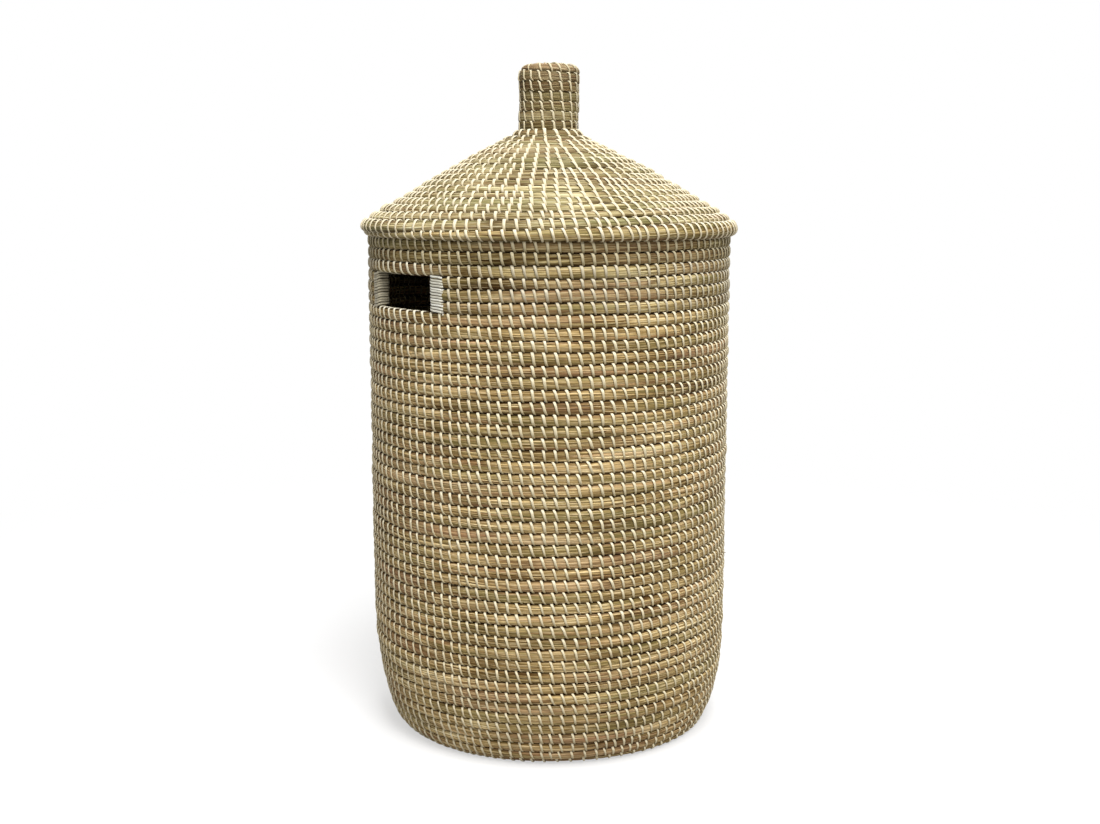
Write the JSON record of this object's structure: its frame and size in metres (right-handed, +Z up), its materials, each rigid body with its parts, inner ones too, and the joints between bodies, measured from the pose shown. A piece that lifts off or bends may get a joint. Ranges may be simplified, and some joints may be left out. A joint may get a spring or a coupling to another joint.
{
  "type": "coiled lidded basket",
  "caption": "Tall round basket sewn from coiled seagrass, with a lift-off conical lid, a round knob and hand openings bound with cord.",
  "frame": {"origin": "middle of the flat underside of the base", "axes": "+Z up through the knob, +X and -X through the two hand openings, +Y along the wall between them"},
  "size_m": [0.3614, 0.3614, 0.6418],
  "materials": {
    "seagrass_coil": "matte coiled bundles of dried seagrass",
    "lid_coil": "matte coiled bundles of dried seagrass",
    "cream_cord": "satin flat cord"
  },
  "bodies": {
    "basket": {"base_coil": "seagrass_coil", "heel_coil": "seagrass_coil", "wall_coil": "seagrass_coil", "handle_row_1_front": "seagrass_coil", "handle_row_1_back": "seagrass_coil", "handle_row_2_front": "seagrass_coil", "handle_row_2_back": "seagrass_coil", "handle_row_3_front": "seagrass_coil", "handle_row_3_back": "seagrass_coil", "grip_coil": "seagrass_coil", "mouth_coil": "seagrass_coil", "jamb_core_east_back": "seagrass_coil", "jamb_core_east_front": "seagrass_coil", "jamb_core_west_front": "seagrass_coil", "jamb_core_west_back": "seagrass_coil", "jamb_binding_east_back": "cream_cord", "jamb_binding_east_front": "cream_cord", "jamb_binding_west_front": "cream_cord", "jamb_binding_west_back": "cream_cord"},
    "lid": {"lid_rim_coil": "lid_coil", "lid_cone_coil": "lid_coil", "lid_locating_coil": "lid_coil", "knob_coil": "lid_coil", "knob_cap_coil": "lid_coil"}
  },
  "joints": [
    {"name": "lid_lift", "type": "slide", "parent": "basket", "child": "lid", "axis": [0, 0, 1], "range_m": [0, 0.15]}
  ]
}
